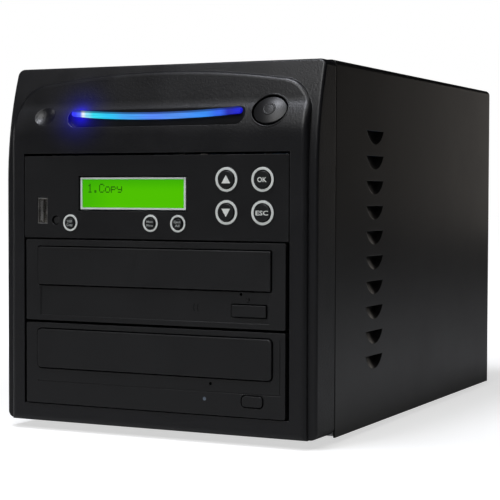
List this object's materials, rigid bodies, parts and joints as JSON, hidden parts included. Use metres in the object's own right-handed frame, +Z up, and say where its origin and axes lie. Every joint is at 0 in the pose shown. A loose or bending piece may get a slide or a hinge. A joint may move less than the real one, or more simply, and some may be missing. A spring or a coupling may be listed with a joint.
{
  "type": "cd dvd duplicator tower",
  "caption": "Small black disc duplicator tower: arched bezel with light bar and power button, display panel with keys, and stacked tray drives in a louvred steel case.",
  "frame": {"origin": "on the table under the middle of the box, level with the undersides of the rubber feet", "axes": "+Z up, +Y to the rear, +X to the right seen from the front; the front panel and tray doors face -Y"},
  "size_m": [0.1752, 0.2854, 0.1865],
  "materials": {
    "bezel_plastic": "fine-grain matte black moulded plastic",
    "panel_plastic": "smooth matte black plastic",
    "drive_plastic": "satin black plastic",
    "tray_plastic": "matte black plastic",
    "gear_plastic": "natural acetal",
    "key_plastic": "satin black with white glyphs",
    "rocker_plastic": "gloss black",
    "ring_plastic": "pale grey",
    "lcd_frame_plastic": "pale reflective frame",
    "lcd_glass": "lit lime-green display",
    "light_guide": "lit blue light guide",
    "board": "green circuit board",
    "switch_plastic": "black",
    "cover_paint": "satin black paint",
    "zinc_steel": "zinc-plated steel",
    "nickel_steel": "nickel plate",
    "foot_rubber": "matte black rubber",
    "drive_light": "diffuse light pipe",
    "pickup_metal": "die-cast"
  },
  "bodies": {
    "housing": {"front_bezel": "bezel_plastic", "panel_fascia": "panel_plastic", "rocker_housing": "panel_plastic", "drive_1_fascia": "drive_plastic", "drive_2_fascia": "drive_plastic", "drive_1_loader": "tray_plastic", "drive_2_loader": "tray_plastic", "case_fan_frame": "tray_plastic", "psu_fan_frame": "tray_plastic", "power_inlet": "tray_plastic", "key_rings": "ring_plastic", "lcd_module": "lcd_frame_plastic", "lcd_window": "lcd_glass", "light_bar": "light_guide", "light_board": "board", "controller_board": "board", "power_switch": "switch_plastic", "key_switches": "switch_plastic", "status_led": "switch_plastic", "cover": "cover_paint", "chassis_base": "zinc_steel", "chassis_front": "zinc_steel", "rear_panel": "zinc_steel", "drive_cage": "zinc_steel", "panel_bracket": "zinc_steel", "psu_case": "zinc_steel", "drive_1_casing": "zinc_steel", "drive_2_casing": "zinc_steel", "usb_port": "nickel_steel", "cover_screws": "nickel_steel", "machine_screws": "nickel_steel", "case_fan_guard": "nickel_steel", "psu_fan_guard": "nickel_steel", "feet": "foot_rubber", "drive_1_light": "drive_light", "drive_2_light": "drive_light"},
    "power_button": {"power_button": "panel_plastic"},
    "up_button": {"up_button": "key_plastic"},
    "ok_button": {"ok_button": "key_plastic"},
    "down_button": {"down_button": "key_plastic"},
    "esc_button": {"esc_button": "key_plastic"},
    "usb_copy_button": {"usb_copy_button": "key_plastic"},
    "menu_button": {"menu_button": "key_plastic"},
    "eject_all_button": {"eject_all_button": "key_plastic"},
    "drive_1_tray": {"drive_1_tray": "tray_plastic", "drive_1_door": "drive_plastic"},
    "drive_1_eject_button": {"drive_1_eject_button": "drive_plastic"},
    "drive_1_tray_gear": {"drive_1_tray_gear": "gear_plastic"},
    "drive_1_turntable": {"drive_1_turntable": "pickup_metal"},
    "drive_1_pickup": {"drive_1_pickup": "pickup_metal"},
    "drive_2_tray": {"drive_2_tray": "tray_plastic", "drive_2_door": "drive_plastic"},
    "drive_2_eject_button": {"drive_2_eject_button": "drive_plastic"},
    "drive_2_tray_gear": {"drive_2_tray_gear": "gear_plastic"},
    "drive_2_turntable": {"drive_2_turntable": "pickup_metal"},
    "drive_2_pickup": {"drive_2_pickup": "pickup_metal"},
    "case_fan_rotor": {"case_fan_rotor": "tray_plastic"},
    "psu_fan_rotor": {"psu_fan_rotor": "tray_plastic"},
    "rocker_switch": {"rocker_switch": "rocker_plastic"}
  },
  "joints": [
    {"name": "power_button_press", "type": "slide", "parent": "housing", "child": "power_button", "axis": [0, 0.866, -0.5], "range_m": [0, 0.0025], "stiffness_N_per_m": 400, "springref_m": -0.002},
    {"name": "up_button_press", "type": "slide", "parent": "housing", "child": "up_button", "axis": [0, 1, 0], "range_m": [0, 0.0008], "stiffness_N_per_m": 900, "springref_m": -0.0006},
    {"name": "ok_button_press", "type": "slide", "parent": "housing", "child": "ok_button", "axis": [0, 1, 0], "range_m": [0, 0.0008], "stiffness_N_per_m": 900, "springref_m": -0.0006},
    {"name": "down_button_press", "type": "slide", "parent": "housing", "child": "down_button", "axis": [0, 1, 0], "range_m": [0, 0.0008], "stiffness_N_per_m": 900, "springref_m": -0.0006},
    {"name": "esc_button_press", "type": "slide", "parent": "housing", "child": "esc_button", "axis": [0, 1, 0], "range_m": [0, 0.0008], "stiffness_N_per_m": 900, "springref_m": -0.0006},
    {"name": "usb_copy_button_press", "type": "slide", "parent": "housing", "child": "usb_copy_button", "axis": [0, 1, 0], "range_m": [0, 0.0008], "stiffness_N_per_m": 900, "springref_m": -0.0006},
    {"name": "menu_button_press", "type": "slide", "parent": "housing", "child": "menu_button", "axis": [0, 1, 0], "range_m": [0, 0.0008], "stiffness_N_per_m": 900, "springref_m": -0.0006},
    {"name": "eject_all_button_press", "type": "slide", "parent": "housing", "child": "eject_all_button", "axis": [0, 1, 0], "range_m": [0, 0.0008], "stiffness_N_per_m": 900, "springref_m": -0.0006},
    {"name": "drive_1_tray_slide", "type": "slide", "parent": "housing", "child": "drive_1_tray", "axis": [0, -1, 0], "range_m": [0, 0.132]},
    {"name": "drive_1_eject_press", "type": "slide", "parent": "housing", "child": "drive_1_eject_button", "axis": [0, 1, 0], "range_m": [0, 0.0009], "stiffness_N_per_m": 900, "springref_m": -0.0006},
    {"name": "drive_1_tray_gear_spin", "type": "hinge", "parent": "housing", "child": "drive_1_tray_gear", "pos_m": [0.044, -0.12425, 0.0768], "axis": [0, 0, 1], "range_deg": [-946, 0]},
    {"name": "drive_1_turntable_spin", "type": "hinge", "parent": "housing", "child": "drive_1_turntable", "pos_m": [0, -0.07275, 0.0718], "axis": [0, 0, 1], "continuous": true},
    {"name": "drive_1_pickup_slide", "type": "slide", "parent": "housing", "child": "drive_1_pickup", "axis": [0, 1, 0], "range_m": [0, 0.034]},
    {"name": "drive_2_tray_slide", "type": "slide", "parent": "housing", "child": "drive_2_tray", "axis": [0, -1, 0], "range_m": [0, 0.132]},
    {"name": "drive_2_eject_press", "type": "slide", "parent": "housing", "child": "drive_2_eject_button", "axis": [0, 1, 0], "range_m": [0, 0.0009], "stiffness_N_per_m": 900, "springref_m": -0.0006},
    {"name": "drive_2_tray_gear_spin", "type": "hinge", "parent": "housing", "child": "drive_2_tray_gear", "pos_m": [0.044, -0.12425, 0.0342], "axis": [0, 0, 1], "range_deg": [-946, 0]},
    {"name": "drive_2_turntable_spin", "type": "hinge", "parent": "housing", "child": "drive_2_turntable", "pos_m": [0, -0.07275, 0.0292], "axis": [0, 0, 1], "continuous": true},
    {"name": "drive_2_pickup_slide", "type": "slide", "parent": "housing", "child": "drive_2_pickup", "axis": [0, 1, 0], "range_m": [0, 0.034]},
    {"name": "case_fan_spin", "type": "hinge", "parent": "housing", "child": "case_fan_rotor", "pos_m": [0, 0.123, 0.05], "axis": [0, 1, 0], "continuous": true},
    {"name": "psu_fan_spin", "type": "hinge", "parent": "housing", "child": "psu_fan_rotor", "pos_m": [-0.022, 0.122, 0.1419], "axis": [0, 1, 0], "continuous": true},
    {"name": "rocker_tilt", "type": "hinge", "parent": "housing", "child": "rocker_switch", "pos_m": [0.052, 0.13495, 0.1609], "axis": [1, 0, 0], "range_deg": [-18, 0]}
  ],
  "couplings": [
    {"joint": "drive_1_tray_gear_spin", "follows": "drive_1_tray_slide", "rad_per_m": -125},
    {"joint": "drive_2_tray_gear_spin", "follows": "drive_2_tray_slide", "rad_per_m": -125}
  ]
}
